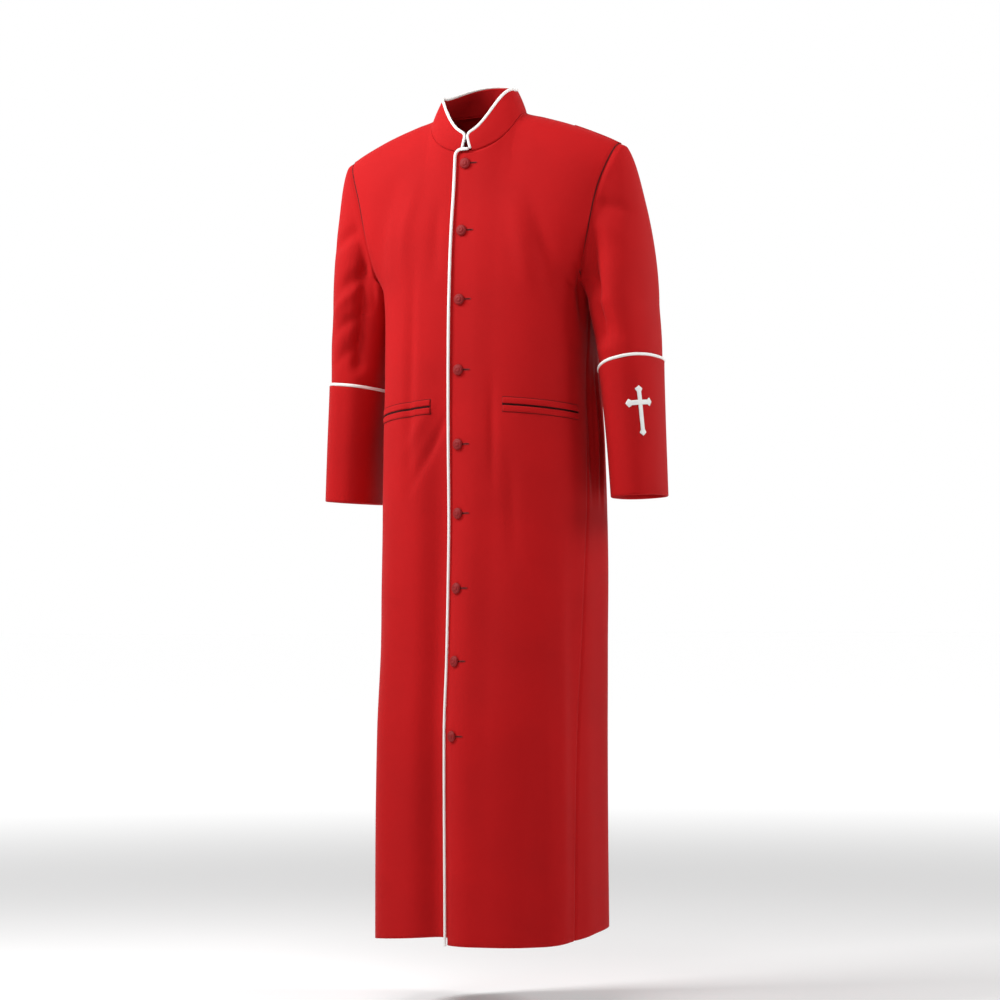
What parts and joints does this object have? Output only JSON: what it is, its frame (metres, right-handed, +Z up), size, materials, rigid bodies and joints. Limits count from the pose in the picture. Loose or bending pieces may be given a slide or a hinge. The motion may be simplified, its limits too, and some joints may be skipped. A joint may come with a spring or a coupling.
{
  "type": "clergy robe",
  "caption": "Ankle-length red clergy robe: band collar, button front, set-in sleeves with deep cuffs, white piping, welt pockets and a white cross on the left cuff.",
  "frame": {"origin": "middle of the neck, on the line between the two points where the shoulder seams meet the collar", "axes": "+Z up along the hanging robe, front faces -Y, the wearer's left sleeve is towards +X"},
  "size_m": [0.619, 0.3595, 1.4594],
  "materials": {
    "red_cloth": "matt woven gabardine",
    "white_piping": "soft satin cord piping",
    "covered_button": "button covered with the robe's cloth",
    "white_embroidery": "raised satin stitch"
  },
  "bodies": {
    "root": {"front_left": "red_cloth", "front_right": "red_cloth", "back": "red_cloth", "collar": "red_cloth", "sleeve_left": "red_cloth", "sleeve_right": "red_cloth", "cuff_left": "red_cloth", "cuff_right": "red_cloth", "welt_left_upper": "red_cloth", "welt_left_lower": "red_cloth", "welt_right_upper": "red_cloth", "welt_right_lower": "red_cloth", "piping_collar": "white_piping", "piping_front": "white_piping", "piping_cuff_left": "white_piping", "piping_cuff_right": "white_piping", "button_1": "covered_button", "button_2": "covered_button", "button_3": "covered_button", "button_4": "covered_button", "button_5": "covered_button", "button_6": "covered_button", "button_7": "covered_button", "button_8": "covered_button", "button_9": "covered_button", "cross_left": "white_embroidery"}
  },
  "joints": []
}
